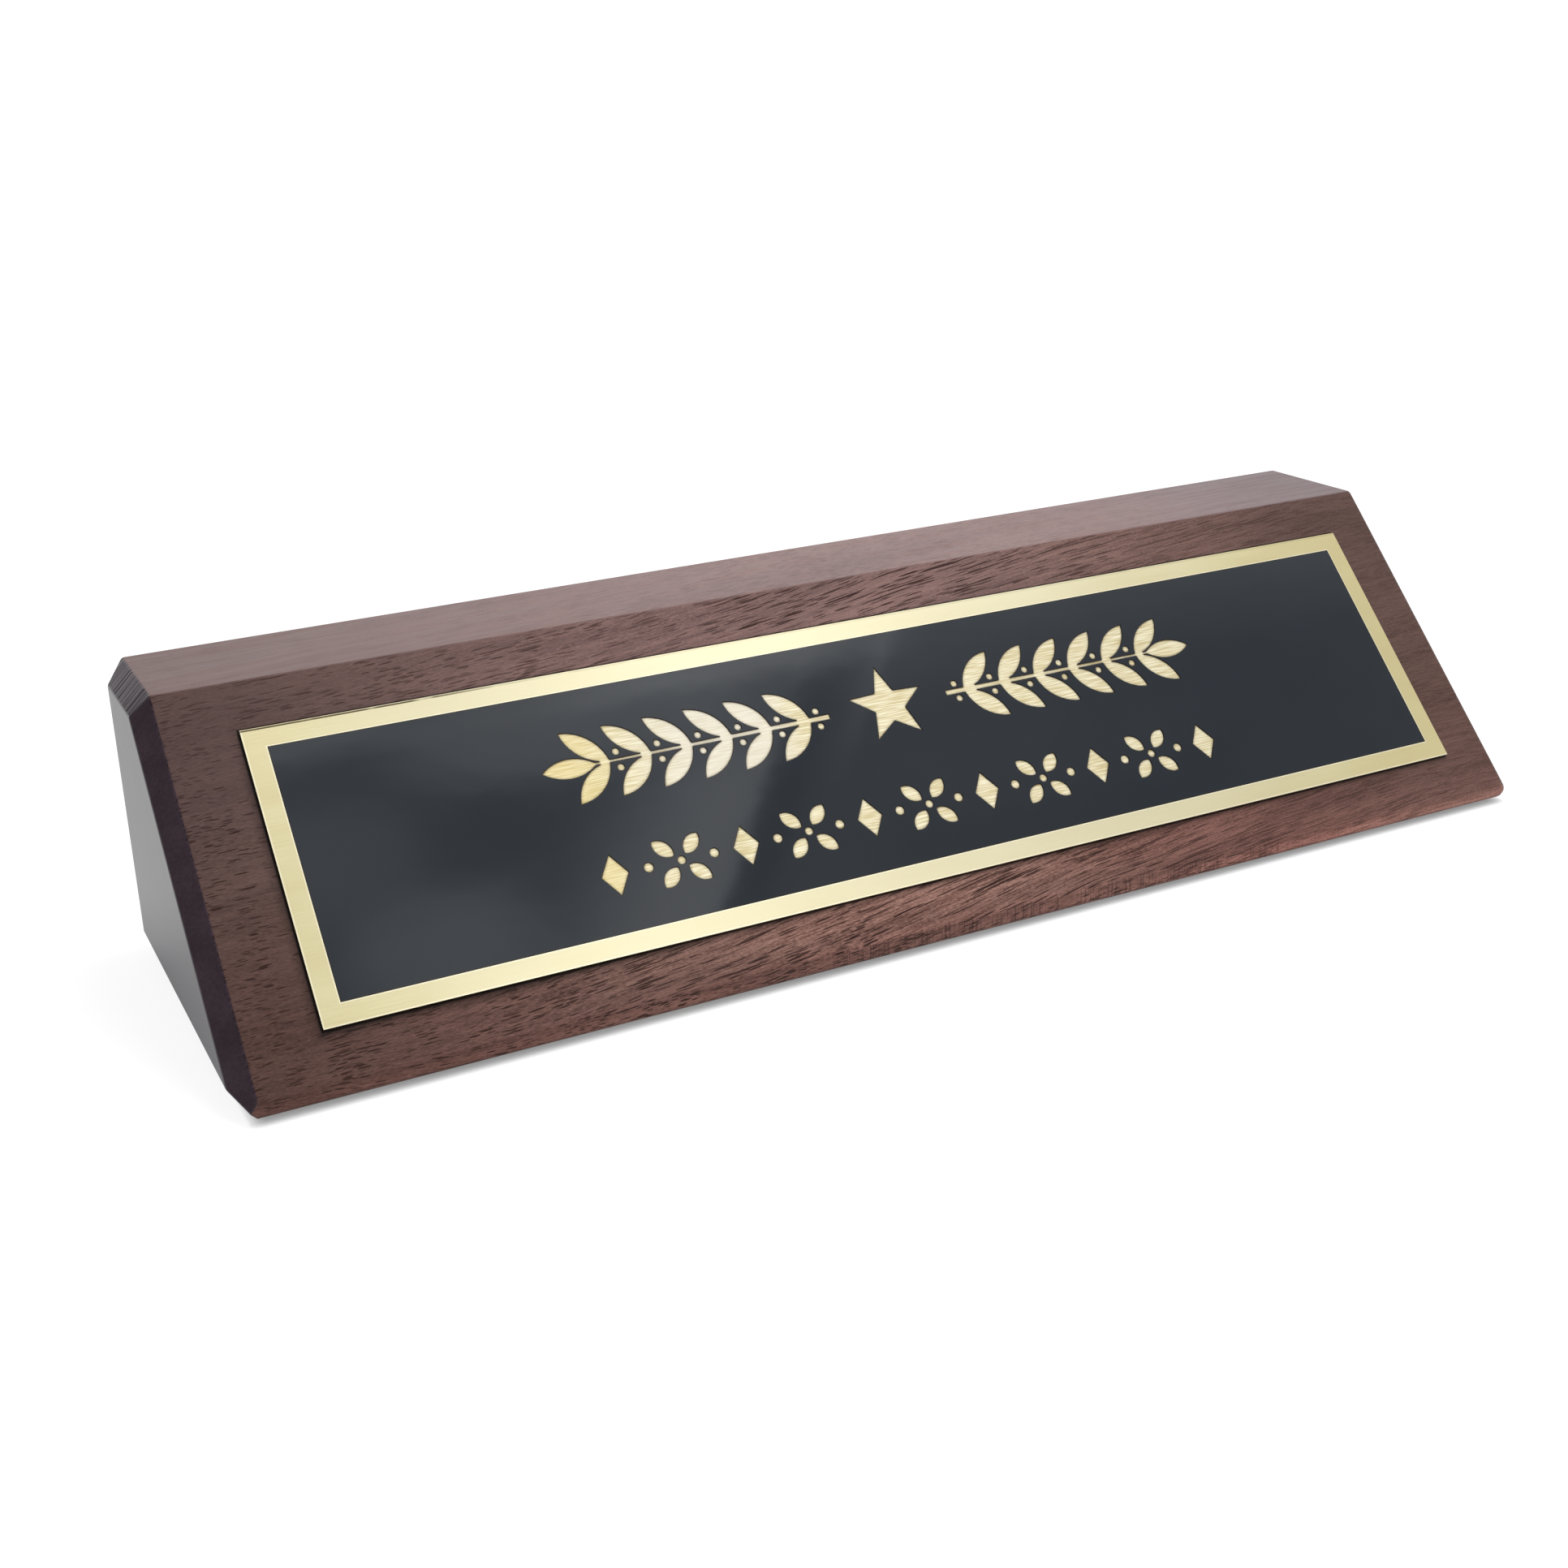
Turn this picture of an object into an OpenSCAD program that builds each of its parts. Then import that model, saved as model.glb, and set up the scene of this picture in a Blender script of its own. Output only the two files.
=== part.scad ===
// Desk name wedge: a solid walnut block with a sloping front that carries an engraved brass plate.
// Millimetres. +X runs to the right along the block, +Y to the back and +Z up.
// The origin is under the middle of the block, on the surface that the feet stand on.

/* [Block] */
// Length of the block, left to right
block_l = 254; // [236:1:320]
// Depth of the block, front to back
block_d = 72; // [66:0.5:90]
// Height of the block
block_h = 52.5; // [48:0.5:66]
// Depth of the flat top
top_d = 24; // [16:0.5:30]
// Height of the upright toe along the front
toe_h = 3; // [1:0.1:6]
// Width of the chamfers round both ends
end_chamfer = 3.4; // [1:0.1:6]

/* [Plate] */
// Length of the brass plate
plate_w = 225; // [150:1:240]
// Height of the brass plate, up the slope
plate_h = 51.5; // [42:0.1:58]
// Thickness of the brass sheet
plate_t = 0.5; // [0.3:0.05:1.5]
// Distance from the toe's upper edge to the plate, up the slope
plate_rise = 8.2; // [4:0.1:9]
// Distance of the plate's middle to the right of the block's middle
plate_shift = 1; // [-3:0.1:3]
// Width of the bare brass border
border_w = 3.6; // [2:0.1:5]
// Thickness of the black coat
coat_t = 0.05; // [0.03:0.01:0.2]
// Depth of the engraving in the brass
cut_depth = 0.1; // [0.05:0.01:0.2]

/* [Tape] */
// Thickness of the adhesive sheet behind the plate
tape_t = 0.3; // [0.1:0.05:1.2]
// Distance of the adhesive sheet's edge inside the plate's edge
tape_inset = 0.8; // [0.3:0.1:5]

/* [Ornament] */
// Distance of the star and its branches above the plate's middle
branch_rise = 8; // [6:0.1:9]
// Diameter of the circle through the star's tips
star_d = 15.5; // [10:0.1:18]
// Diameter of the circle through the star's inner corners
star_waist_d = 6.5; // [4:0.1:9]
// Distance from the middle to the foot of each branch
branch_start = 12; // [10:0.5:16]
// Length of each branch's stem
branch_l = 46; // [30:0.5:52]
// Width of the stem at its foot
stem_w = 1.1; // [0.6:0.1:1.5]
// Width of the stem at its tip
stem_tip_w = 0.5; // [0.3:0.1:1]
// Length of the stem's tip inside the end leaf
stem_lap = 1.5; // [1:0.1:3]
// Number of leaf pairs on a branch
leaf_pairs = 6; // [3:1:8]
// Length of the leaves
leaf_l = 10; // [5:0.1:11]
// Width of the leaves
leaf_w = 3.7; // [1.5:0.1:4]
// Angle between a leaf and its stem
leaf_angle = 42; // [20:1:45]
// Diameter of the berries behind the leaf pairs
berry_d = 1.4; // [0.8:0.1:1.5]
// Distance of the berries' middles from the stem's middle line, and from the foot of their leaf
berry_gap = 1.5; // [1.4:0.1:1.8]
// Distance of the row of flowers below the plate's middle
row_drop = 12; // [9:0.1:13]
// Distance between neighbours in the row, where flowers and lozenges take turns
row_pitch = 12; // [10:0.1:14]
// Number of neighbours on each side of the row's middle flower
row_steps = 5; // [2:1:6]
// Length of the petals
petal_l = 4.6; // [2:0.1:5]
// Width of the petals
petal_w = 2.7; // [1:0.1:3]
// Diameter of the dot in the middle of a flower
eye_d = 1.6; // [1:0.1:2]
// Gap between that dot and the petals
petal_gap = 0.6; // [0.4:0.1:1]
// Width of the lozenges
lozenge_w = 5; // [2:0.1:6]
// Height of the lozenges
lozenge_h = 7.5; // [3:0.1:9]
// Diameter of the dots between the flowers and the lozenges
dot_d = 1.8; // [1:0.1:2.5]

/* [Feet] */
// Diameter of the felt pads
foot_d = 14; // [8:0.5:20]
// Thickness of the felt pads
foot_t = 1; // [0.5:0.1:3]
// Distance from the block's ends to the middle of the pads
foot_inset_x = 18; // [14:0.5:40]
// Distance from the block's front and back to the middle of the pads
foot_inset_y = 13; // [11:0.5:24]

/* [Hidden] */

// The slope between the toe and the top
front_run = block_d - top_d;
front_rise = block_h - toe_h;
front_angle = atan2(front_rise, front_run);

// Large enough to reach past the block in any direction
reach = block_l + block_d + block_h;

field_w = plate_w - 2 * border_w;
field_h = plate_h - 2 * border_w;
plate_middle = plate_rise + plate_h / 2;
coat_base = tape_t + plate_t;

star_points = 5;
leaf_pitch = branch_l / leaf_pairs;

$fn = 64;

walnut = [0.42, 0.30, 0.26];
brass = [0.87, 0.82, 0.60];
enamel = [0.20, 0.21, 0.23];
tape_black = [0.08, 0.07, 0.07];
felt_black = [0.10, 0.10, 0.10];

// Places its children on the block's lower front edge, with +Y to the back
module at_toe() {
    translate([0, -block_d / 2, foot_t]) children();
}

// Places its children on the sloping front: +Y runs up the slope from the toe and +Z stands out of it
module on_front() {
    at_toe() translate([0, 0, toe_h]) rotate([front_angle, 0, 0]) children();
}

// Places its children in the middle of the plate, at a height above the wood
module on_plate(height) {
    on_front() translate([plate_shift, plate_middle, height]) children();
}

// The block's outline, seen from its right end
module block_section() {
    polygon([[0, 0], [0, toe_h], [front_run, block_h], [block_d, block_h], [block_d, 0]]);
}

// A strip as long as the block whose two upper corners are chamfered, with its upper side on the X axis
module chamfered_strip(depth) {
    half = block_l / 2;
    polygon([[-half, -depth], [-half, -end_chamfer], [end_chamfer - half, 0],
             [half - end_chamfer, 0], [half, -end_chamfer], [half, -depth]]);
}

// All that lies behind a face of the block and inside the chamfers at that face's two ends.
// The face is the XY plane, and the block lies below it.
module behind_face() {
    rotate([90, 0, 0]) linear_extrude(2 * reach, center = true) chamfered_strip(reach);
}

module walnut_block() {
    color(walnut) intersection() {
        at_toe() rotate([90, 0, 90]) linear_extrude(block_l, center = true) block_section();
        on_front() behind_face();
        at_toe() translate([0, 0, block_h]) behind_face();
        at_toe() rotate([180, 0, 0]) behind_face();
        at_toe() translate([0, block_d, 0]) rotate([-90, 0, 0]) behind_face();
    }
}

// A leaf between two arcs that meet in its tips, which lie on the X axis
module leaf(length, width) {
    radius = (length * length + width * width) / (4 * width);
    intersection() {
        translate([0, radius - width / 2]) circle(radius);
        translate([0, width / 2 - radius]) circle(radius);
    }
}

// A star with one tip straight up
module star() {
    step = 180 / star_points;
    polygon([for (i = [0 : 2 * star_points - 1])
        let (radius = (i % 2 == 0 ? star_d : star_waist_d) / 2, turn = 90 + i * step)
        [radius * cos(turn), radius * sin(turn)]]);
}

// A branch that grows along +X from the origin, with paired leaves, berries and an end leaf
module branch() {
    polygon([[0, -stem_w / 2], [branch_l, -stem_tip_w / 2], [branch_l, stem_tip_w / 2], [0, stem_w / 2]]);
    translate([branch_l - stem_lap + leaf_l / 2, 0]) leaf(leaf_l, leaf_w);
    for (i = [0 : leaf_pairs - 1], side = [-1, 1]) translate([(i + 0.5) * leaf_pitch, 0]) {
        rotate(side * leaf_angle) translate([leaf_l / 2, 0]) leaf(leaf_l, leaf_w);
        translate([-berry_gap, side * berry_gap]) circle(d = berry_d);
    }
}

// Four petals round a dot
module flower() {
    circle(d = eye_d);
    for (turn = [45 : 90 : 315]) rotate(turn)
        translate([eye_d / 2 + petal_gap + petal_l / 2, 0]) leaf(petal_l, petal_w);
}

module lozenge() {
    polygon([[-lozenge_w / 2, 0], [0, -lozenge_h / 2], [lozenge_w / 2, 0], [0, lozenge_h / 2]]);
}

// A row of flowers and lozenges by turns, with a flower in the middle and dots in the spaces
module flower_row() {
    for (i = [-row_steps : row_steps]) translate([i * row_pitch, 0]) {
        if (i % 2 == 0) flower();
        else lozenge();
    }
    for (i = [-row_steps : row_steps - 1]) translate([(i + 0.5) * row_pitch, 0]) circle(d = dot_d);
}

// The engraved ornament: a star between two branches, over a row of flowers
module ornament() {
    translate([0, branch_rise]) star();
    for (turn = [0, 1]) mirror([turn, 0]) translate([branch_start, branch_rise]) branch();
    translate([0, -row_drop]) flower_row();
}

module mounting_tape() {
    color(tape_black) on_plate(0) linear_extrude(tape_t)
        square([plate_w - 2 * tape_inset, plate_h - 2 * tape_inset], center = true);
}

module brass_plate() {
    color(brass) on_plate(tape_t) difference() {
        linear_extrude(plate_t) square([plate_w, plate_h], center = true);
        translate([0, 0, plate_t - cut_depth]) linear_extrude(plate_t) ornament();
    }
}

module black_enamel() {
    color(enamel) on_plate(coat_base) linear_extrude(coat_t) difference() {
        square([field_w, field_h], center = true);
        ornament();
    }
}

// A felt pad at one corner of the base: side_x is -1 on the left, side_y is -1 at the front
module foot(side_x, side_y) {
    color(felt_black)
        translate([side_x * (block_l / 2 - foot_inset_x), side_y * (block_d / 2 - foot_inset_y), 0])
            cylinder(d = foot_d, h = foot_t);
}

module foot_front_left() { foot(-1, -1); }
module foot_front_right() { foot(1, -1); }
module foot_rear_left() { foot(-1, 1); }
module foot_rear_right() { foot(1, 1); }

walnut_block();
mounting_tape();
brass_plate();
black_enamel();
foot_front_left();
foot_front_right();
foot_rear_left();
foot_rear_right();
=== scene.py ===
import math

import bmesh
import bpy
from mathutils import Matrix, Vector, noise


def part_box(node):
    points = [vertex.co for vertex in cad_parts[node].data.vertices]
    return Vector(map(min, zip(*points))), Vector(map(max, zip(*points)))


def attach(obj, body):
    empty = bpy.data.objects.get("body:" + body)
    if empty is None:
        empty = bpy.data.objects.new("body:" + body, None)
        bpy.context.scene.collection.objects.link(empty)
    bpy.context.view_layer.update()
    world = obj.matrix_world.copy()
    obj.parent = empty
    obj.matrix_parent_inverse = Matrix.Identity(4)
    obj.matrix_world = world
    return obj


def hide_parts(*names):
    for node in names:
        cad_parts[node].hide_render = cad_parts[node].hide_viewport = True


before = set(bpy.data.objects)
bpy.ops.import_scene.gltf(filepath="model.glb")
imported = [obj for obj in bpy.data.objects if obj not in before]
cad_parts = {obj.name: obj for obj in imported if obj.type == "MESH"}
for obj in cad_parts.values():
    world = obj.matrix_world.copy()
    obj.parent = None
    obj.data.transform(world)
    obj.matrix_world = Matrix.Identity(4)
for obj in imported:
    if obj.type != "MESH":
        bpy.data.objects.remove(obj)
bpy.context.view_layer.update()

MM = 0.001

# Points less than this apart along an axis count as level
LEVEL = MM / 100

# The photograph's frame and lens, in its pixels, and the width of the camera's sensor in mm
IMAGE_SIZE = 1932
FOCAL_LENGTH = 2495
AXIS_X = 910.6
AXIS_Y = 893.3
SENSOR = 36

# The camera, in metres and degrees: it stands in front of the block, to its left and above it
CAMERA_PLACE = (-0.1712, -0.30501, 0.15465)
CAMERA_TURN = 25.555
CAMERA_DIP = 19.71
CAMERA_ROLL = -2.15
NEAREST_SEEN = 0.01

# The lamp: the way to it, its distance and side in metres, its brightness, and the watts per square metre
# that a brightness of 1 takes
KEY_WAY = (0.2, -0.05, 0.98)
KEY_DISTANCE = 0.6
KEY_SIDE = 0.3
KEY_BRIGHTNESS = 7.5
LAMP_WATTS = 4

# The floor: its size in metres, its grey, its glow, and the reach of its dark contact line and its soft shade
FLOOR_SIZE = 8
FLOOR_GREY = 0.2
FLOOR_GLOW = 0.88
CONTACT_REACH = 1.8 * MM
SHADE_REACH = 30 * MM

# The edge of the window that the plate mirrors: a point on it, in mm along and up the plate, and the way
# across it
WINDOW_EDGE = (-10.8, 20.8)
WINDOW_ACROSS = (-0.789, 0.615)

# Clouds in that window: place along and up the plate, width and height in mm, and brightness
WINDOW_CLOUDS = ((-58, 16, 40, 12, 0.7), (-90, -18, 22, 14, 0.55), (-105, 0, 20, 14, 0.25),
                 (-78, 0, 18, 9, -0.12))

# A mirrored way leaves the plate by at least this share
GRAZING = 0.05

# Rounding of the block's sanded edges, and of its worn lower right corner
EDGE_ROUND = 0.35 * MM
CORNER_ROUND = 0.9 * MM
ROUND_STEPS = 3

# Points of the solid this close are one point, and its faces are one face up to this angle
WELD = 0.01 * MM
FLAT_ANGLE = math.radians(1)

# Faces that look along the block by more than this share are end grain, and those that look to the front and
# up by more than the other share belong to the slope
END_GRAIN = 0.4
FRONT_SHARE = 0.3

# Felt pads: sides of their outline, rounding of their rims, depth of their uneven cut, and its waves per mm
PAD_SIDES = 72
PAD_ROUND = 0.3 * MM
PAD_FUZZ = 0.06 * MM
PAD_WAVES = 1.3

# How the fibres run, in mm: their climb, a swing with its height, its length per radian and its start, their
# dive by the square of the distance from where they are level, and two waves with their size and sway
FIBRE_CLIMB = 0.08
FIBRE_SWING = 3.5
SWING_LENGTH = 50
SWING_START = -78
FIBRE_DIVE = 0.00032
FIBRE_LEVEL_AT = 40
FIBRE_WAVES = (((60, 22, 22), (0, 3.4, 2.4)), ((16, 7, 7), (0, 0.5, 0.7)))

# Sizes in mm of what makes the wood's tone, along the fibres and two ways across them, and the tone's range
FIGURE_SIZE = (80, 13, 13)
STREAK_SIZE = (45, 1.0, 1.6)
HAIR_SIZE = (7, 0.19, 0.19)
FLECK_SIZE = (0.7, 0.22, 0.22)
EARLY_WOOD_SIZE = (26, 3.2, 3.2)
TONE_MIDDLE = 1.075
TONE_SPREAD = 0.27

# Layers of open vessels: length and width of their cells in mm, their reach in a cell, the share of cells
# with one in late and in early wood, and a shift that keeps the layers apart. Then the share of a vessel's
# reach that is fully dark, and the depth of the faintest one.
VESSEL_LAYERS = ((22, 0.48, 0.32, 0.25, 0.7, 0),
                 (12, 0.28, 0.36, 0.3, 0.7, 50),
                 (7, 0.36, 0.36, 0.3, 0.7, 90))
VESSEL_CORE = 0.8
VESSEL_FAINTEST = 0.75

# Marks of the saw, in mm: size of the lines and of their patches on the toe, and of the lines on the ends
SAW_LINE_SIZE = (0.42, 7, 1)
SAW_PATCH_SIZE = (9, 40, 40)
END_SAW_LINE_SIZE = (30, 0.4, 30)

# Half of how much further the plate's painted shadow line on the wood reaches past its upper edge, in mm
TOP_LINE = 0.13

# Depths in mm below the brass face between which its colour turns into the engraving's, and the distance of
# the burr from the plate's upper edge
CUT_LOW = 0.07
CUT_HIGH = 0.03
BURR_INSET = 0.25


def srgb(red, green, blue):
    """A colour written as 0 to 255, as a linear colour with alpha."""
    def linear(value):
        value /= 255
        return value / 12.92 if value <= 0.04045 else ((value + 0.055) / 1.055) ** 2.4
    return (linear(red), linear(green), linear(blue), 1)


WHITE = (1, 1, 1, 1)
WARM_TINT = (1, 0.86, 0.87, 1)
WOOD_DARK = srgb(95, 62, 53)
WOOD_LIGHT = srgb(184, 141, 128)
# Painted sheen on the wood: a grey veil over its colour
WOOD_SHEEN_VEIL = srgb(117, 98, 100)
VESSEL_COLOUR = srgb(38, 14, 7)
SAWN_COLOUR = srgb(54, 31, 28)
PLATE_SHADE = srgb(6, 3, 2)
END_DARK = srgb(45, 31, 41)
END_LIGHT = srgb(66, 49, 60)
# Painted sheen low on the end faces
END_SHEEN = srgb(72, 64, 78)
END_VESSEL = srgb(22, 15, 18)
BRASS_DARK = srgb(212, 201, 155)
BRASS_LIGHT = srgb(224, 215, 173)
# Painted highlight, painted reflection and painted glint on the brass border
BRASS_HIGHLIGHT = srgb(226, 219, 188)
BRASS_DIM_REFLECTION = srgb(214, 198, 142)
BRASS_GLINT = srgb(252, 244, 214)
CUT_DARK = srgb(218, 203, 156)
CUT_LIGHT = srgb(248, 240, 210)
CUT_YELLOW = srgb(236, 212, 128)
CUT_SILVER = srgb(236, 231, 220)
# Burn marks on the engraving's edges, partly painted shade where its walls close in
BURN_AND_SHADE = srgb(66, 45, 20)
# Painted shade on the sheet's cut edges
SHEET_EDGE_SHADE = srgb(20, 13, 8)
ENAMEL_DARK = srgb(6, 17, 27)
ENAMEL_LIGHT = srgb(16, 27, 37)
ENAMEL_RIM = srgb(8, 5, 3)
TAPE_DARK = srgb(12, 10, 10)
TAPE_LIGHT = srgb(28, 25, 24)
FELT_DARK = srgb(16, 16, 17)
FELT_LIGHT = srgb(58, 57, 57)


def points(node):
    """A node's points, in metres."""
    return [vertex.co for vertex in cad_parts[node].data.vertices]


def front_normal(node):
    """The outward normal of a node's sloping front."""
    faces = [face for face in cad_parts[node].data.polygons
             if face.normal.y < -FRONT_SHARE and face.normal.z > FRONT_SHARE]
    return sum((face.normal * face.area for face in faces), Vector()).normalized()


def corners(node):
    """The least and greatest corner of a node's box."""
    return tuple(Vector(corner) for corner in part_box(node))


# The sloping front: its outward normal, the way up it, and the middle of the toe's upper edge
FRONT = front_normal("black_enamel")
FRONT_ANGLE = math.atan2(-FRONT.y, FRONT.z)
SLOPE = Vector((0, math.cos(FRONT_ANGLE), math.sin(FRONT_ANGLE)))
FRONT_Y = corners("walnut_block")[0].y
TOE_HEIGHT = max(point.z for point in points("walnut_block") if point.y < FRONT_Y + LEVEL)
TOE = Vector((0, FRONT_Y, TOE_HEIGHT))

# The plate: its middle, and half the length and height of the sheet and of its black field, in mm
PLATE_LOW, PLATE_HIGH = corners("brass_plate")
PLATE_MIDDLE = (PLATE_LOW + PLATE_HIGH) / 2
FIELD_LOW, FIELD_HIGH = corners("black_enamel")
PLATE_HALF_L = (PLATE_HIGH.x - PLATE_LOW.x) / 2 / MM
FIELD_HALF_L = (FIELD_HIGH.x - FIELD_LOW.x) / 2 / MM
BORDER = PLATE_HALF_L - FIELD_HALF_L


def plate_reach(way):
    """The greatest distance of the plate's points from its middle along a way, in mm."""
    return max((point - PLATE_MIDDLE).dot(way) / MM for point in points("brass_plate"))


PLATE_HALF_H = plate_reach(SLOPE)
FIELD_HALF_H = PLATE_HALF_H - BORDER
PLATE_FACE = plate_reach(FRONT)


class Shader:
    """A node tree, built by calls that return sockets."""

    def __init__(self, owner):
        owner.use_nodes = True
        self.tree = owner.node_tree
        self.tree.nodes.clear()

    def node(self, kind, inputs=None, **settings):
        made = self.tree.nodes.new("ShaderNode" + kind)
        for key, value in settings.items():
            setattr(made, key, value)
        for key, value in (inputs or {}).items():
            if isinstance(value, bpy.types.NodeSocket):
                self.tree.links.new(value, made.inputs[key])
            else:
                made.inputs[key].default_value = value
        return made

    def math(self, operation, first, second=0.0, third=0.0):
        return self.node("Math", {0: first, 1: second, 2: third}, operation=operation).outputs[0]

    def times(self, first, *others):
        for other in others:
            first = self.math("MULTIPLY", first, other)
        return first

    def plus(self, first, *others):
        for other in others:
            first = self.math("ADD", first, other)
        return first

    def minus(self, first, second):
        return self.math("SUBTRACT", first, second)

    def rest(self, share):
        return self.minus(1, share)

    def larger(self, first, second):
        return self.math("MAXIMUM", first, second)

    def smaller(self, first, second):
        return self.math("MINIMUM", first, second)

    def size(self, value):
        return self.math("ABSOLUTE", value)

    def vector(self, operation, first, second=(0, 0, 0)):
        return self.node("VectorMath", {0: first, 1: second}, operation=operation).outputs[0]

    def dot(self, first, second):
        return self.node("VectorMath", {0: first, 1: second}, operation="DOT_PRODUCT").outputs[1]

    def fade(self, value, low, high, start=0.0, end=1.0):
        """Value from low to high becomes start to end, with soft ends."""
        inputs = {"Value": value, "From Min": low, "From Max": high, "To Min": start, "To Max": end}
        return self.node("MapRange", inputs, interpolation_type="SMOOTHSTEP").outputs[0]

    def between(self, value, low, full, still, high, level=1.0):
        """0 below low and above high, and level from full to still."""
        return self.times(self.fade(value, low, full), self.fade(value, still, high, level, 0))

    def blend(self, share, first, second):
        return self.node("Mix", {0: share, 2: first, 3: second}).outputs[0]

    def mix(self, share, first, second, blend="MIX"):
        made = self.node("Mix", {0: share, 6: first, 7: second}, data_type="RGBA", blend_type=blend)
        return made.outputs[2]

    def grain(self, place, lengths, detail=2.0, rough=0.5, kind="Fac"):
        """Noise whose features measure lengths in the units of place."""
        scaled = self.vector("DIVIDE", place, lengths)
        inputs = {"Vector": scaled, "Scale": 1, "Detail": detail, "Roughness": rough}
        return self.node("TexNoise", inputs).outputs[kind]

    def split(self, place):
        return self.node("SeparateXYZ", {0: place}).outputs

    def join(self, x, y, z):
        return self.node("CombineXYZ", {0: x, 1: y, 2: z}).outputs[0]

    def bump(self, height, depth, strength=1.0):
        inputs = {"Height": height, "Distance": depth, "Strength": strength}
        return self.node("Bump", inputs).outputs[0]

    def surface(self, shader):
        self.node("OutputMaterial", {"Surface": shader})

    def principled(self, inputs):
        self.surface(self.node("BsdfPrincipled", inputs).outputs[0])


def material(name):
    made = bpy.data.materials.new(name)
    return made, Shader(made)


def front_place(sh, origin):
    """Millimetres along the block, up its slope and out of it."""
    place = sh.node("TexCoord").outputs["Object"]
    shifted = sh.vector("SUBTRACT", place, tuple(origin))
    inputs = {"Vector": shifted, "Rotation": (-FRONT_ANGLE, 0, 0), "Scale": (1 / MM,) * 3}
    return sh.node("Mapping", inputs).outputs[0]


def edge_distance(sh, along, up, half_length, half_height):
    """Distance in mm from the edge of a rectangle round the plate's middle, positive inside."""
    return sh.smaller(sh.minus(half_length, sh.size(along)), sh.minus(half_height, sh.size(up)))


def fibre_place(sh, place):
    """Where a point lies in the tree, in mm: along the fibres and two ways across them.

    The fibres climb the slope to the right, most in the middle, and run out of it towards both ends."""
    x, up, out = sh.split(place)
    turn = sh.math("DIVIDE", sh.plus(x, -SWING_START), SWING_LENGTH)
    climbed = sh.minus(sh.times(x, FIBRE_CLIMB), sh.times(sh.math("COSINE", turn), FIBRE_SWING))
    level = sh.plus(x, -FIBRE_LEVEL_AT)
    dived = sh.times(level, level, FIBRE_DIVE)
    straight = sh.join(x, sh.minus(up, climbed), sh.minus(out, dived))
    for lengths, sway in FIBRE_WAVES:
        wave = sh.grain(place, lengths, 1, kind="Color")
        centred = sh.vector("SUBTRACT", wave, (0.5, 0.5, 0.5))
        straight = sh.vector("ADD", straight, sh.vector("MULTIPLY", centred, sway))
    return straight


def vessels(sh, fibre, length, width, reach, share):
    """Open vessels: a spindle, dark or faint, in a share of the cells of a stretched pattern."""
    stretched = sh.vector("DIVIDE", fibre, (length, width, width))
    cells = sh.node("TexVoronoi", {"Vector": stretched, "Scale": 1, "Randomness": 1}, feature="F1")
    chance, depth, _ = sh.node("SeparateColor", {0: cells.outputs["Color"]}).outputs
    spindle = sh.fade(cells.outputs["Distance"], reach * VESSEL_CORE, reach, 1, 0)
    return sh.times(spindle, sh.math("LESS_THAN", chance, share), sh.fade(depth, 0, 1, VESSEL_FAINTEST, 1))


def long_grain_vessels(sh, fibre, x, up, top):
    """Vessels of the long grain: fewer on the left, and fainter on the right, the top and the upper left."""
    dense = sh.fade(sh.grain(fibre, EARLY_WOOD_SIZE), 0.36, 0.6)
    sparse = sh.fade(x, -100, -30, 0.5, 1)
    found = 0.0
    for length, width, reach, late, early, shift in VESSEL_LAYERS:
        share = sh.times(sh.fade(dense, 0, 1, late, early), sparse)
        shifted = sh.vector("ADD", fibre, (shift,) * 3)
        found = sh.larger(found, vessels(sh, shifted, length, width, reach, share))
    right = sh.times(sh.fade(x, 104, 116, 1, 0.45), sh.fade(x, 20, 90, 1, 0.55))
    left = sh.fade(x, -100, -25, 0.95, 1)
    upper_left = sh.times(sh.fade(up, 40, 60), sh.fade(x, -40, -10, 1, 0))
    return sh.times(found, right, left, sh.fade(top, 0, 1, 1, 0.45), sh.fade(upper_left, 0, 1, 1, 0.72))


def saw_marks(sh, place, normal):
    """Upright marks of the saw on the toe's front, in its middle and to the right."""
    x, up, _ = sh.split(place)
    facing = sh.fade(sh.split(normal)[1], -0.95, -0.8, 1, 0)
    near = sh.fade(up, 0.1, 0.9, 0.6, 0)
    lines = sh.fade(sh.grain(sh.join(x, up, 0), SAW_LINE_SIZE, 1), 0.5, 0.62)
    patches = sh.fade(sh.grain(place, SAW_PATCH_SIZE, 1), 0.34, 0.52)
    stretch = sh.times(sh.fade(x, -32, -20), sh.fade(x, 45, 85, 1, 0.2))
    return sh.times(lines, patches, stretch, sh.larger(facing, near))


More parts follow.
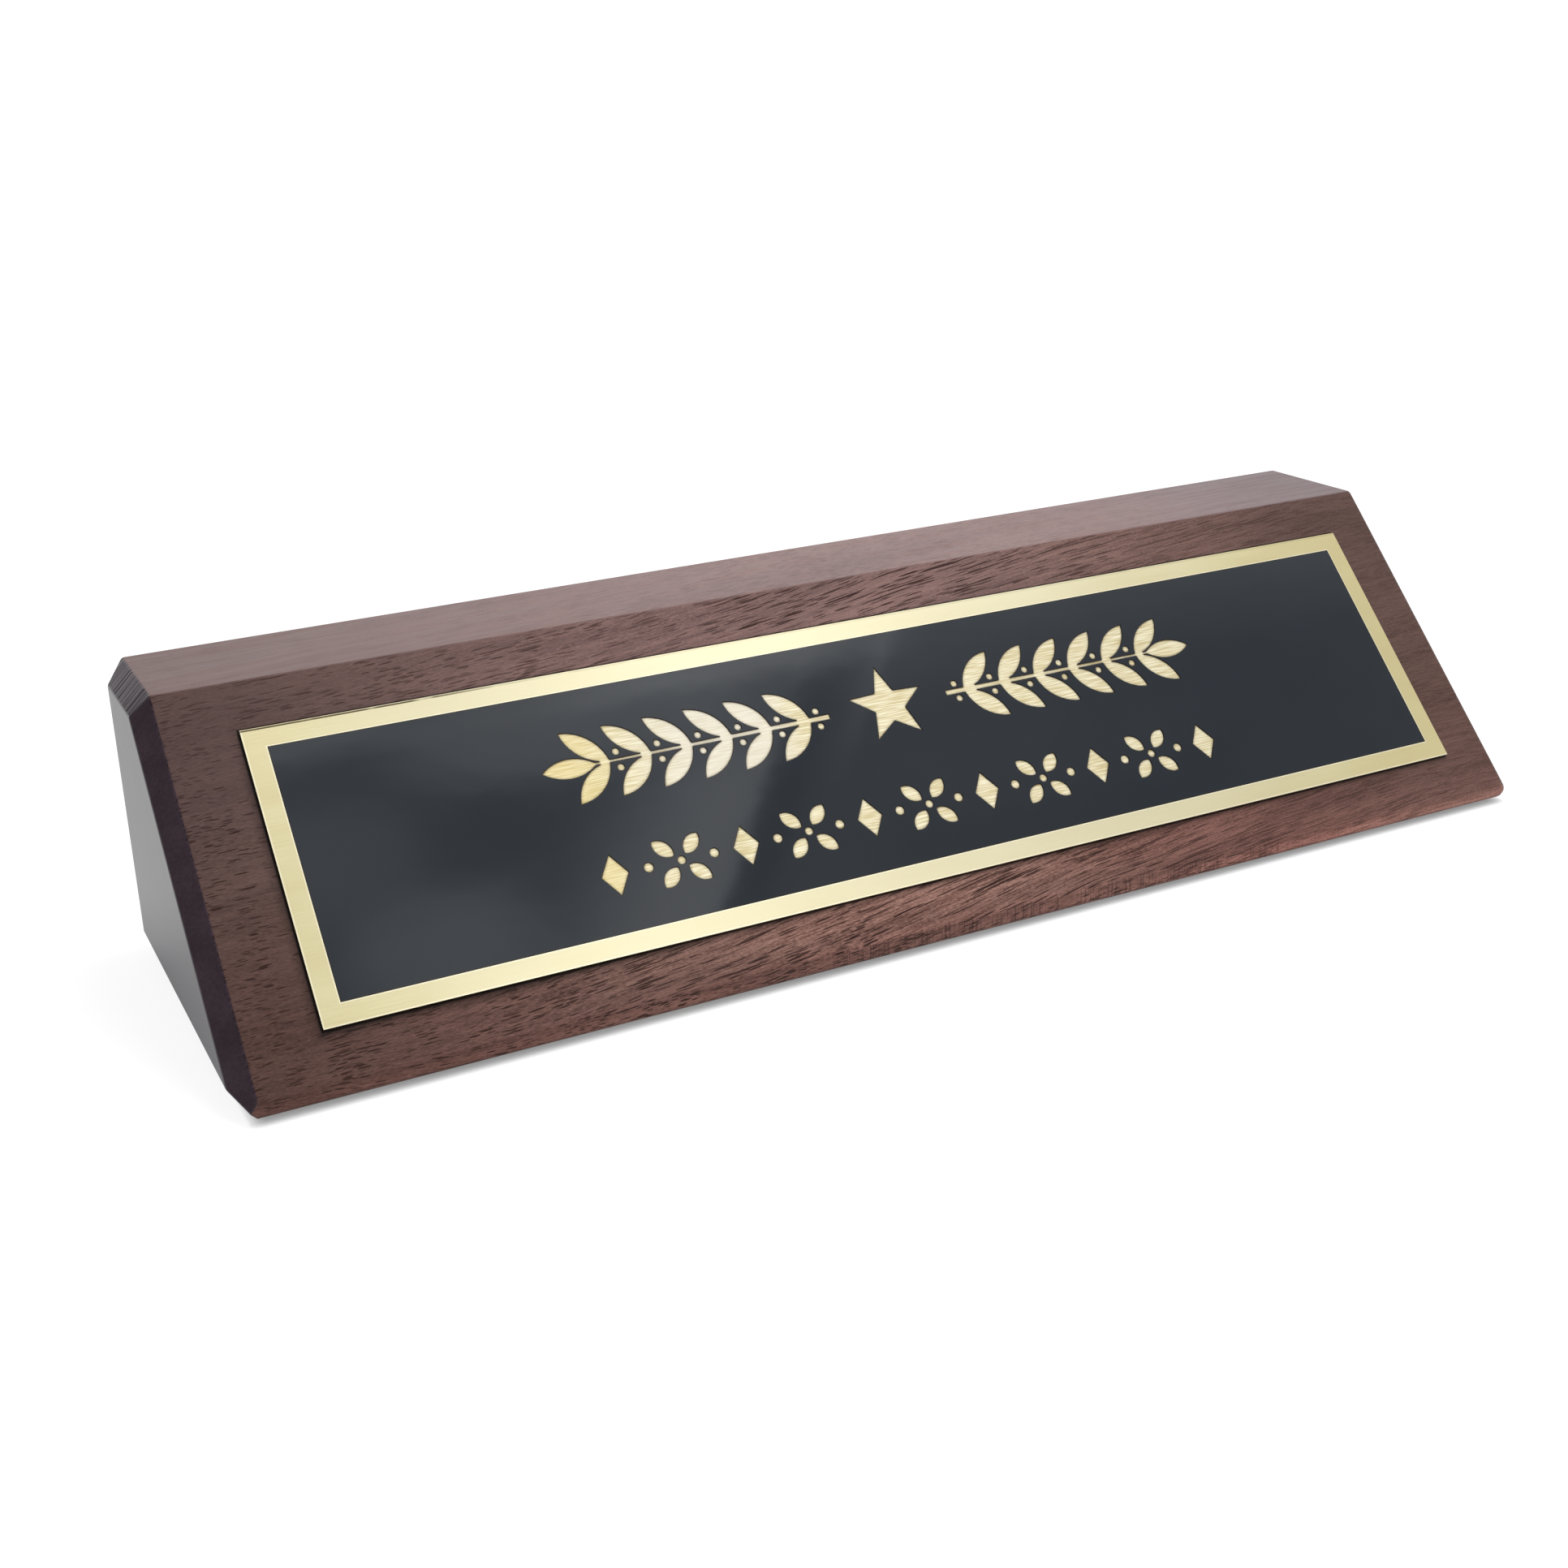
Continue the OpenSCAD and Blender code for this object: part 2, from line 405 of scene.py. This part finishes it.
def painted_wood_shade(sh, x, up, top):
    """Painted light and shade in the wood's colour: darker towards both ends, at the lower left, along the
    upper edge and over the middle of the toe, and lighter at the lower right. The toe's front and the top
    have their own painted light."""
    lean_right = sh.minus(x, sh.times(up, 0.5))
    ends = sh.times(sh.fade(x, -135, -15, 0.36, 1), sh.fade(lean_right, -20, 95, 1, 0.345))
    upper_middle = sh.times(sh.fade(x, -60, 0), sh.fade(x, 70, 95, 0.07, 0))
    upper = sh.times(sh.fade(up, 40, 62), sh.plus(upper_middle, 0.13))
    lower_left = sh.times(sh.fade(x, -50, -22, 1, 0), sh.fade(up, 5, 45, 0.26, 0))
    over_toe = sh.times(sh.fade(up, 1.5, 5, 0.26, 0), sh.between(x, -85, -60, 55, 85))
    lower_right = sh.times(sh.fade(up, 1, 5, 0.33, 0), sh.fade(x, 40, 70))
    slope = sh.times(ends, sh.rest(upper), sh.rest(lower_left), sh.rest(over_toe), sh.plus(lower_right, 1))
    toe = sh.times(sh.fade(x, -20, 115, 0.83, 1.82), sh.fade(x, -122, -100, 0.8, 1))
    shade = sh.blend(sh.fade(up, -1.3, 0.5, 1, 0), slope, toe)
    return sh.larger(shade, sh.times(top, sh.fade(x, -125, -20, 0.52, 0.83), sh.fade(x, 85, 121, 1, 0.9)))


def wood_warmth(sh, x, up):
    """How red the wood is: most at the lower right and on the toe, and a little at the lower left."""
    low = sh.fade(up, 10, 34, 1, 0)
    toe = sh.fade(up, -0.5, 3, 0.6, 0)
    right = sh.times(sh.larger(toe, sh.times(sh.fade(x, 10, 55), low)), sh.fade(x, 75, 115, 1, 0.35))
    return sh.larger(right, sh.times(sh.fade(x, -95, -60, 0.45, 0), low))


def plate_shade(sh, x, up, out):
    """The plate's painted shadow on the wood round it: a dark line and a soft shade, wider on the left."""
    middle = (PLATE_MIDDLE - TOE) / MM
    along = sh.plus(x, -middle.x)
    above = sh.plus(up, -middle.dot(SLOPE))
    inside = edge_distance(sh, along, sh.plus(above, -TOP_LINE), PLATE_HALF_L, PLATE_HALF_H + TOP_LINE)
    outside = sh.times(inside, -1)
    crisp = sh.times(sh.fade(x, -75, -40, 0, 0.14), sh.fade(above, 0, 20, 1, 0))
    line = sh.fade(sh.plus(outside, crisp), 0.2, 0.5, 0.92, 0)
    strength = sh.times(sh.fade(x, -90, -20, 0.36, 0.1), sh.fade(x, 30, 70, 1, 0))
    soft = sh.times(sh.fade(outside, 0.3, 2.2, 1, 0), strength, sh.fade(above, 16, 26, 1, 0.25))
    return sh.times(sh.larger(line, soft), sh.fade(out, -2, -1))


def walnut():
    """Long-grain walnut under a thin satin lacquer. Places along the block and up its slope are in mm."""
    made, sh = material("walnut")
    place = front_place(sh, TOE)
    x, up, out = sh.split(place)
    fibre = fibre_place(sh, place)
    normal = sh.node("NewGeometry").outputs["Normal"]
    top = sh.fade(sh.split(normal)[2], 0.75, 0.95)
    figure = sh.grain(fibre, FIGURE_SIZE)
    streaks = sh.grain(fibre, STREAK_SIZE, 3, 0.6)
    hairs = sh.grain(fibre, HAIR_SIZE, 3, 0.65)
    flecks = sh.grain(place, FLECK_SIZE)
    tone = sh.plus(sh.times(figure, 0.5), sh.times(streaks, 0.45), sh.times(hairs, 0.7),
                   sh.times(flecks, 0.5))
    calm = sh.times(sh.fade(x, -105, -40, 0.65, 1), sh.fade(x, 50, 110, 1, 0.55), sh.fade(top, 0, 1, 1, 0.65))
    tone = sh.math("MULTIPLY_ADD", sh.plus(tone, -TONE_MIDDLE), calm, TONE_MIDDLE)
    light = sh.fade(tone, TONE_MIDDLE - TONE_SPREAD, TONE_MIDDLE + TONE_SPREAD)
    colour = sh.mix(light, WOOD_DARK, WOOD_LIGHT)
    # Painted sheen: a grey veil that rises up the slope and covers the top
    sheen_veil = sh.times(sh.fade(sh.plus(up, sh.times(figure, 40)), 15, 80, 0, 0.5), sh.fade(x, 20, 90, 1, 0.4))
    sheen_veil = sh.larger(sheen_veil, sh.times(top, sh.fade(x, 40, 121, 0.6, 1)))
    colour = sh.mix(sheen_veil, colour, WOOD_SHEEN_VEIL)
    # Painted light and shade: darker ends and lower left, lighter lower right, toe front and top
    shade = painted_wood_shade(sh, x, up, top)
    colour = sh.mix(1, colour, sh.join(shade, shade, shade), "MULTIPLY")
    colour = sh.mix(1, colour, sh.mix(wood_warmth(sh, x, up), WHITE, WARM_TINT), "MULTIPLY")
    vessel = long_grain_vessels(sh, fibre, x, up, top)
    colour = sh.mix(sh.times(vessel, 0.97), colour, VESSEL_COLOUR)
    sawn = saw_marks(sh, place, normal)
    colour = sh.mix(sh.times(sawn, 0.55), colour, SAWN_COLOUR)
    # The plate's painted shadow on the wood
    colour = sh.mix(plate_shade(sh, x, up, out), colour, PLATE_SHADE)
    height = sh.minus(sh.times(hairs, 0.25), sh.larger(vessel, sawn))
    sh.principled({
        "Base Color": colour, "Roughness": sh.fade(streaks, 0.3, 0.7, 0.4, 0.5), "Specular IOR Level": 0.2,
        "Normal": sh.bump(height, 0.05 * MM, 0.5)})
    return made


def walnut_end():
    """End-grain walnut: dark from the lacquer it drank, with a painted grey sheen low down, and sawn on its
    upper chamfers.
    """
    made, sh = material("walnut_end")
    place = front_place(sh, TOE)
    fibre = fibre_place(sh, place)
    upright_place = sh.vector("DIVIDE", sh.node("TexCoord").outputs["Object"], (MM, MM, MM))
    height = sh.split(upright_place)[2]
    sideways, _, upward = sh.split(sh.node("NewGeometry").outputs["Normal"])
    clouds = sh.grain(place, (14, 7, 7), 3)
    rays = sh.grain(fibre, (3, 0.5, 0.5))
    tone = sh.plus(sh.times(clouds, 0.6), sh.times(rays, 0.4))
    wood = sh.mix(sh.fade(tone, 0.3, 0.7), END_DARK, END_LIGHT)
    # Painted sheen: the end faces turn lighter and greyer low down
    low_sheen = sh.times(sh.fade(height, 8, 32, 0.8, 0), sh.fade(sh.size(sideways), 0.85, 0.97))
    wood = sh.mix(low_sheen, wood, END_SHEEN)
    lines = sh.fade(sh.grain(upright_place, END_SAW_LINE_SIZE), 0.45, 0.62)
    sawn = sh.times(lines, sh.fade(upward, 0.45, 0.65))
    vessel = vessels(sh, fibre, 24, 0.45, 0.3, 0.5)
    colour = sh.mix(sh.larger(sh.times(vessel, 0.5), sh.times(sawn, 0.7)), wood, END_VESSEL)
    dents = sh.minus(sh.times(rays, 0.3), sh.larger(vessel, sh.times(sawn, 3)))
    sh.principled({
        "Base Color": colour, "Roughness": sh.fade(sawn, 0, 1, 0.3, 0.85), "Specular IOR Level": 0.4,
        "Normal": sh.bump(dents, 0.02 * MM, 0.3)})
    return made


def brass_face(sh, place, along, up, brushed):
    """The brushed border, with a painted pale highlight in the middle, a painted yellower reflection on the
    right, and a painted glint along its left, lower and inner edges."""
    cloud = sh.grain(place, (22, 6, 6))
    tone = sh.plus(sh.times(brushed, 0.5), sh.times(cloud, 0.5))
    face = sh.mix(sh.fade(tone, 0.3, 0.7), BRASS_DARK, BRASS_LIGHT)
    # Painted highlight: paler in the middle of the border
    pale = sh.times(sh.between(along, -115, -75, 30, 95, 0.6), sh.fade(up, -24, 24, 1, 1.15))
    face = sh.mix(pale, face, BRASS_HIGHLIGHT)
    # Painted reflection: darker and yellower towards the right end
    face = sh.mix(sh.fade(along, 70, 115, 0, 0.5), face, BRASS_DIM_REFLECTION)
    # Painted glint along the left, lower and inner edges
    outer = sh.smaller(sh.plus(along, PLATE_HALF_L), sh.plus(up, PLATE_HALF_H))
    inner = sh.size(edge_distance(sh, along, up, FIELD_HALF_L, FIELD_HALF_H))
    edge_glint = sh.larger(sh.fade(outer, 0.12, 0.32, 0.7, 0), sh.fade(inner, 0.1, 0.3, 0.7, 0))
    return sh.mix(edge_glint, face, BRASS_GLINT)


def engraved_floor(sh, along, up, scan):
    """The bottom of the engraving: scan lines, yellower at the left, and silvery beside that higher up."""
    colour = sh.mix(sh.fade(scan, 0.4, 0.6), CUT_DARK, CUT_LIGHT)
    colour = sh.mix(sh.fade(along, -64, -48, 0.45, 0), colour, CUT_YELLOW)
    silver = sh.times(sh.between(along, -56, -38, -26, -16, 0.6), sh.fade(up, -8, 2))
    return sh.mix(silver, colour, CUT_SILVER)


def brass():
    """Satin brass: a fine brushed face, engraved floors with scan lines, edges dark from burning and partly
    from painted shade, and cut sheet edges painted dark as shade.
    """
    made, sh = material("brass")
    place = front_place(sh, PLATE_MIDDLE)
    along, up, out = sh.split(place)
    brushed = sh.grain(place, (12, 0.08, 0.08))
    scan = sh.grain(place, (5, 0.16, 1), 1)
    cut = sh.fade(out, PLATE_FACE - CUT_LOW, PLATE_FACE - CUT_HIGH, 1, 0)
    colour = sh.mix(cut, brass_face(sh, place, along, up, brushed), engraved_floor(sh, along, up, scan))
    # The engraving's edges: dark from burning, and partly painted shade where its walls close in
    open_sky = sh.node("AmbientOcclusion", {"Distance": 0.6 * MM}, samples=4).outputs["AO"]
    burn_and_shade = sh.times(sh.fade(open_sky, 0.72, 0.93, 1, 0), cut)
    burr = sh.size(sh.minus(sh.minus(PLATE_HALF_H, up), BURR_INSET))
    ragged = sh.times(sh.fade(along, -85, -60, 1, 0.15), sh.fade(sh.grain(place, (6, 6, 6)), 0.25, 0.45))
    burn_and_shade = sh.larger(burn_and_shade, sh.times(sh.fade(burr, 0.1, 0.2, 0.9, 0), ragged))
    colour = sh.mix(burn_and_shade, colour, BURN_AND_SHADE)
    # Painted shade: the sheet's cut edges that face away from the front turn near-black
    facing = sh.size(sh.dot(sh.node("NewGeometry").outputs["True Normal"], tuple(FRONT)))
    edge_shade = sh.times(sh.fade(facing, 0.5, 0.7, 1, 0), sh.rest(cut))
    colour = sh.mix(edge_shade, colour, SHEET_EDGE_SHADE)
    height = sh.plus(sh.times(brushed, 0.3), sh.times(cut, scan))
    sh.principled({
        "Base Color": colour, "Metallic": 1, "Roughness": sh.fade(cut, 0, 1, 0.24, 0.38),
        "Coat Weight": 0.35, "Coat Roughness": 0.2, "Normal": sh.bump(height, 0.01 * MM, 0.25)})
    return made


def enamel():
    """Gloss black lacquer with a faint ripple."""
    made, sh = material("enamel")
    place = front_place(sh, PLATE_MIDDLE)
    along, up, _ = sh.split(place)
    ripple = sh.grain(place, (18, 12, 12))
    dust = sh.grain(place, (0.3, 0.3, 0.3))
    rim = edge_distance(sh, along, up, FIELD_HALF_L, FIELD_HALF_H)
    black = sh.mix(ripple, ENAMEL_DARK, ENAMEL_LIGHT)
    colour = sh.mix(sh.fade(rim, 0.12, 0.3, 0.9, 0), black, ENAMEL_RIM)
    sh.principled({
        "Base Color": colour, "Roughness": sh.fade(dust, 0.3, 0.7, 0.03, 0.06), "Specular IOR Level": 0.5,
        "Normal": sh.bump(ripple, 0.15 * MM, 0.12)})
    return made


def tape():
    """Black foam adhesive."""
    made, sh = material("tape")
    cells = sh.grain(front_place(sh, TOE), (0.2, 0.2, 0.2), 3)
    sh.principled({
        "Base Color": sh.mix(cells, TAPE_DARK, TAPE_LIGHT), "Roughness": 0.85,
        "Normal": sh.bump(cells, 0.05 * MM, 0.5)})
    return made


def felt():
    """Black wool felt: short matted fibres."""
    made, sh = material("felt")
    mat = sh.grain(front_place(sh, TOE), (0.5, 0.5, 0.5), 5, 0.7)
    sh.principled({
        "Base Color": sh.mix(mat, FELT_DARK, FELT_LIGHT), "Roughness": 0.95,
        "Specular IOR Level": 0.15, "Sheen Weight": 0.4, "Normal": sh.bump(mat, 0.2 * MM, 0.8)})
    return made


def new_piece(name, mesh, materials):
    """A piece made of a mesh, with its materials."""
    data = bpy.data.meshes.new(name)
    mesh.to_mesh(data)
    mesh.free()
    piece = bpy.data.objects.new(name, data)
    bpy.context.scene.collection.objects.link(piece)
    for made in materials:
        data.materials.append(made)
    return piece


def worn(edge):
    """Whether an edge ends in the block's lower right front corner."""
    return any(v.co.x > 0 and v.co.y < FRONT_Y + MM and v.co.z < TOE_HEIGHT - MM / 2 for v in edge.verts)


def walnut_piece():
    """The block, with its edges sanded round and its lower right corner worn."""
    mesh = bmesh.new()
    mesh.from_mesh(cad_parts["walnut_block"].data)
    bmesh.ops.remove_doubles(mesh, verts=mesh.verts, dist=WELD)
    bmesh.ops.dissolve_limit(mesh, verts=mesh.verts, edges=mesh.edges, angle_limit=FLAT_ANGLE)
    weight = mesh.edges.layers.float.new("bevel_weight_edge")
    for edge in mesh.edges:
        edge[weight] = 1 if worn(edge) else EDGE_ROUND / CORNER_ROUND
    for face in mesh.faces:
        face.smooth = True
        face.material_index = 1 if abs(face.normal.x) > END_GRAIN else 0
    piece = new_piece("walnut_wedge", mesh, [walnut(), walnut_end()])
    rounding = piece.modifiers.new("rounding", "BEVEL")
    rounding.limit_method = "WEIGHT"
    rounding.width = CORNER_ROUND
    rounding.segments = ROUND_STEPS
    rounding.use_clamp_overlap = False
    piece.modifiers.new("weighted_normals", "WEIGHTED_NORMAL")
    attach(piece, "root")
    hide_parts("walnut_block")


def felt_pad(node, finish):
    """A felt disc with a soft rim and a slightly uneven cut."""
    low, high = corners(node)
    middle = (low + high) / 2
    radius = (high.x - low.x) / 2
    mesh = bmesh.new()
    bmesh.ops.create_cone(mesh, cap_ends=True, segments=PAD_SIDES, radius1=radius, radius2=radius,
                          depth=high.z - low.z)
    rims = [edge for edge in mesh.edges if abs(edge.verts[0].co.z - edge.verts[1].co.z) < LEVEL]
    bmesh.ops.bevel(mesh, geom=rims, offset=PAD_ROUND, offset_type="OFFSET", segments=ROUND_STEPS,
                    profile=0.5, affect="EDGES", clamp_overlap=True)
    for vert in mesh.verts:
        fuzz = PAD_FUZZ * noise.noise((vert.co + middle) / MM * PAD_WAVES)
        flat = Vector((vert.co.x, vert.co.y, 0))
        vert.co -= flat.normalized() * abs(fuzz)
        vert.co += middle
    for face in mesh.faces:
        face.smooth = True
    piece = new_piece(node.replace("foot", "felt_pad"), mesh, [finish])
    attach(piece, "root")
    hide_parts(node)


def dress(node, finish):
    """Gives a solid that is shown as it is its material."""
    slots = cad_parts[node].data.materials
    slots.clear()
    slots.append(finish)


def mirrored(sh, path):
    """1 for what is seen in gloss or through glass, 0 for what is seen straight or only lights the object."""
    seen = sh.larger(path["Is Glossy Ray"], path["Is Transmission Ray"])
    return sh.times(seen, sh.rest(path["Is Camera Ray"]))


def floor():
    """A pale floor that keeps the block's soft shadow."""
    mesh = bmesh.new()
    bmesh.ops.create_grid(mesh, x_segments=1, y_segments=1, size=FLOOR_SIZE / 2)
    made, sh = material("floor")
    path = sh.node("LightPath").outputs
    contact = sh.node("AmbientOcclusion", {"Distance": CONTACT_REACH}, samples=6).outputs["AO"]
    shade = sh.node("AmbientOcclusion", {"Distance": SHADE_REACH}, samples=3).outputs["AO"]
    seen = sh.plus(sh.times(contact, path["Is Camera Ray"]), sh.times(shade, mirrored(sh, path)))
    matt = sh.node("BsdfDiffuse", {"Color": (FLOOR_GREY, FLOOR_GREY, FLOOR_GREY, 1)}).outputs[0]
    lit = sh.node("Emission", {"Strength": sh.times(seen, FLOOR_GLOW)}).outputs[0]
    sh.surface(sh.node("AddShader", {0: matt, 1: lit}).outputs[0])
    new_piece("floor", mesh, [made])


def mirrored_place(sh, way):
    """Where on the plate the camera sees a part of the studio mirrored: mm along and up from its middle."""
    eye = Vector(CAMERA_PLACE)
    image = eye - 2 * (eye - PLATE_MIDDLE).dot(FRONT) * FRONT
    start = (image - PLATE_MIDDLE) / MM
    toward = sh.larger(sh.dot(way, tuple(FRONT)), GRAZING)
    run = sh.math("DIVIDE", -start.dot(FRONT), toward)
    along = sh.math("MULTIPLY_ADD", run, sh.split(way)[0], start.x)
    up = sh.math("MULTIPLY_ADD", run, sh.dot(way, tuple(SLOPE)), start.dot(SLOPE))
    return along, up


def bright_side(sh, along, up, beside):
    """The window's bright side: a band along its edge, and soft clouds."""
    band = sh.times(sh.fade(beside, 6, 30, 1, 0), sh.fade(up, -2, 14, 1, 0.32))
    level = sh.plus(band, 0.8)
    for middle_along, middle_up, width, height, gain in WINDOW_CLOUDS:
        across = sh.math("DIVIDE", sh.plus(along, -middle_along), width)
        above = sh.math("DIVIDE", sh.plus(up, -middle_up), height)
        spread = sh.plus(sh.times(across, across), sh.times(above, above))
        level = sh.plus(sh.fade(spread, 0, 1, gain, 0), level)
    return level


def dim_side(sh, along, up, beside):
    """The window's dim side: a bright streak and a dark blade run along its edge."""
    low = sh.times(sh.fade(up, -22, -8, -0.1, 0), sh.between(along, -20, 0, 40, 80))
    level = sh.plus(sh.fade(along, 0, 80, 0.78, 0.6), sh.fade(up, 4, 21, 0, 0.24), low)
    streak = sh.times(sh.between(beside, -15, -12, -12, -9), sh.fade(up, -10, 22, 0, 0.5))
    return sh.minus(sh.plus(level, streak), sh.between(beside, -9, -5, -2, 1, 0.16))


def border_light(sh, along, up):
    """What only the brass border mirrors: more light below and above, and less at the upper left."""
    above = sh.times(sh.fade(along, -60, -5, 0, 0.5), sh.fade(along, 60, 112, 1.2, 0.5))
    dip = sh.times(sh.fade(along, -90, -65), sh.fade(along, -45, -10, -0.28, 0))
    below = sh.times(sh.fade(along, -122, -75, 0, 0.8), sh.fade(along, -30, -8, 1, 0.75),
                     sh.fade(along, 30, 110, 1, 0.75))
    beyond = sh.times(edge_distance(sh, along, up, FIELD_HALF_L, FIELD_HALF_H), -1)
    return sh.times(sh.fade(beyond, 0, 8), sh.blend(sh.fade(up, -20, 20), below, sh.plus(above, dip)))


def window(sh, way):
    """The light of a softly clouded window, and how much of it is in a direction."""
    along, up = mirrored_place(sh, way)
    beside = sh.plus(sh.times(sh.plus(along, -WINDOW_EDGE[0]), WINDOW_ACROSS[0]),
                     sh.times(sh.plus(up, -WINDOW_EDGE[1]), WINDOW_ACROSS[1]))
    level = sh.blend(sh.fade(beside, -1, 1.5), dim_side(sh, along, up, beside),
                     bright_side(sh, along, up, beside))
    top = sh.times(sh.fade(along, -70, -35, 0.3, 1.2), sh.fade(along, -12, 15, 1, 0.05))
    top = sh.plus(top, sh.fade(along, -100, -75, 0.4, 0))
    level = sh.plus(level, sh.times(sh.fade(up, 16, 21), top), border_light(sh, along, up))
    inside = sh.times(sh.fade(sh.size(along), 140, 200, 1, 0), sh.fade(sh.size(up), 60, 120, 1, 0))
    return level, inside


def sky():
    """A pale studio, dim on the left, with a clouded window overhead."""
    world = bpy.data.worlds.new("studio")
    bpy.context.scene.world = world
    sh = Shader(world)
    way = sh.node("TexCoord").outputs["Generated"]
    x, y, z = sh.split(way)
    behind = sh.times(sh.fade(y, 0.3, 0.9, 0, 0.6), sh.fade(x, -0.3, 0.1))
    room = sh.times(sh.fade(z, 0.2, 0.7, 0.9, 0.55), sh.fade(x, -0.95, -0.3, 0.35, 1), sh.plus(behind, 1))
    far_left = sh.times(sh.fade(y, 0.5, 0.9), sh.fade(x, -0.35, -0.15, 0.19, 0))
    level, inside = window(sh, way)
    shown = sh.blend(inside, sh.times(room, sh.rest(far_left)), level)
    strength = sh.larger(sh.node("LightPath").outputs["Is Camera Ray"], shown)
    back = sh.node("Background", {"Color": WHITE, "Strength": strength})
    sh.node("OutputWorld", {"Surface": back.outputs[0]})


def softbox():
    """A square lamp overhead that looks at the middle of the block's base."""
    light = bpy.data.lights.new("key", "AREA")
    light.shape = "RECTANGLE"
    light.size = KEY_SIDE
    light.size_y = KEY_SIDE
    light.energy = LAMP_WATTS * KEY_SIDE * KEY_SIDE * KEY_BRIGHTNESS
    lamp = bpy.data.objects.new("key", light)
    way = Vector(KEY_WAY)
    lamp.location = way.normalized() * KEY_DISTANCE
    lamp.rotation_euler = way.to_track_quat("Z", "Y").to_euler()
    lamp.visible_camera = False
    lamp.visible_glossy = False
    bpy.context.scene.collection.objects.link(lamp)


def camera():
    """The photograph's camera."""
    data = bpy.data.cameras.new("camera")
    data.sensor_width = SENSOR
    data.lens = SENSOR * FOCAL_LENGTH / IMAGE_SIZE
    data.shift_x = 0.5 - AXIS_X / IMAGE_SIZE
    data.shift_y = AXIS_Y / IMAGE_SIZE - 0.5
    data.clip_start = NEAREST_SEEN
    eye = bpy.data.objects.new("camera", data)
    turn = Matrix.Rotation(-math.radians(CAMERA_TURN), 4, "Z")
    dip = Matrix.Rotation(math.radians(90 - CAMERA_DIP), 4, "X")
    roll = Matrix.Rotation(math.radians(CAMERA_ROLL), 4, "Z")
    eye.matrix_world = Matrix.Translation(CAMERA_PLACE) @ turn @ dip @ roll
    bpy.context.scene.collection.objects.link(eye)
    bpy.context.scene.camera = eye


walnut_piece()
black_felt = felt()
for pad in ("foot_front_left", "foot_front_right", "foot_rear_left", "foot_rear_right"):
    felt_pad(pad, black_felt)
dress("brass_plate", brass())
dress("black_enamel", enamel())
dress("mounting_tape", tape())
floor()
sky()
softbox()
camera()
bpy.context.scene.view_settings.view_transform = "Standard"
